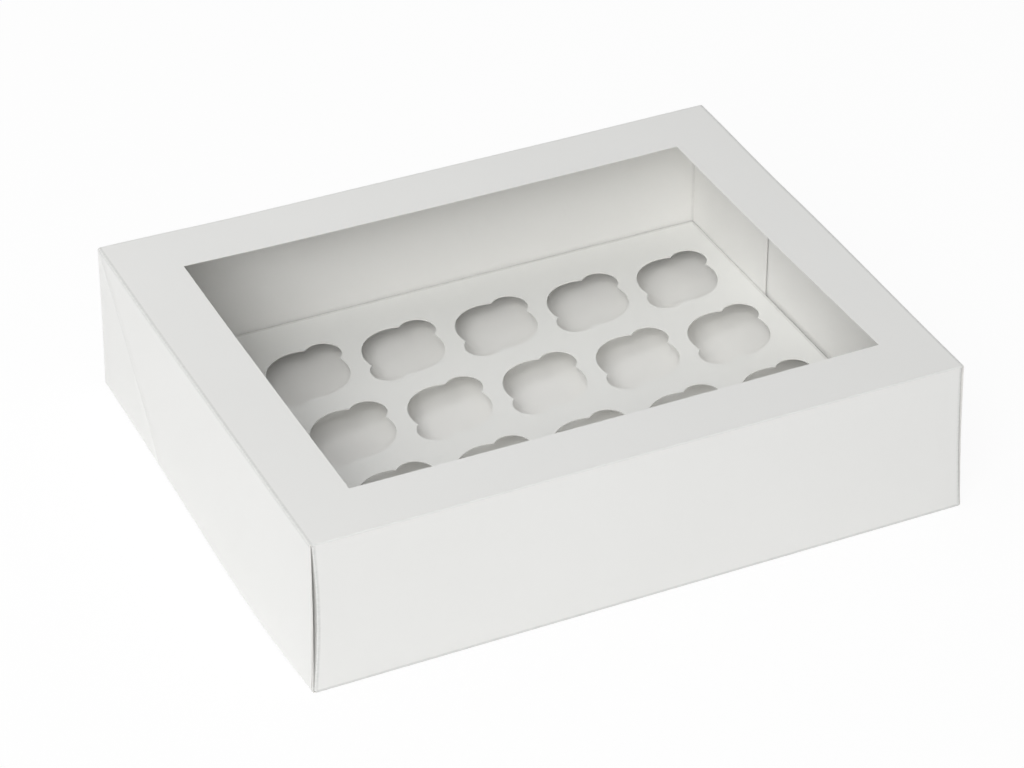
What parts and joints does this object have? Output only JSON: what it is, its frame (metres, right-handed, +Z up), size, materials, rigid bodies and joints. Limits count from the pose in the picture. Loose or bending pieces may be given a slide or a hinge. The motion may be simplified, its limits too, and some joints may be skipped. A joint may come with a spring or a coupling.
{
  "type": "cupcake box",
  "caption": "Folded white board carton with a hinged window lid and a holed insert that holds cupcakes upright.",
  "frame": {"origin": "middle of the closed box's footprint, on the surface that it stands on", "axes": "+X along the long side, +Y from the hinge side to the opening side, +Z up through the lid"},
  "size_m": [0.45, 0.364, 0.109],
  "materials": {
    "white_board": "smooth white folding box board with a faint satin coating",
    "insert_board": "smooth white folding box board, slightly duller than the outside",
    "clear_film": "clear glossy packaging film"
  },
  "bodies": {
    "base": {"tray": "white_board", "insert": "insert_board"},
    "lid": {"lid": "white_board", "window_film": "clear_film"}
  },
  "joints": [
    {"name": "lid_hinge", "type": "hinge", "parent": "base", "child": "lid", "pos_m": [0, -0.182, 0.1085], "axis": [1, 0, 0], "range_deg": [0, 180]}
  ]
}
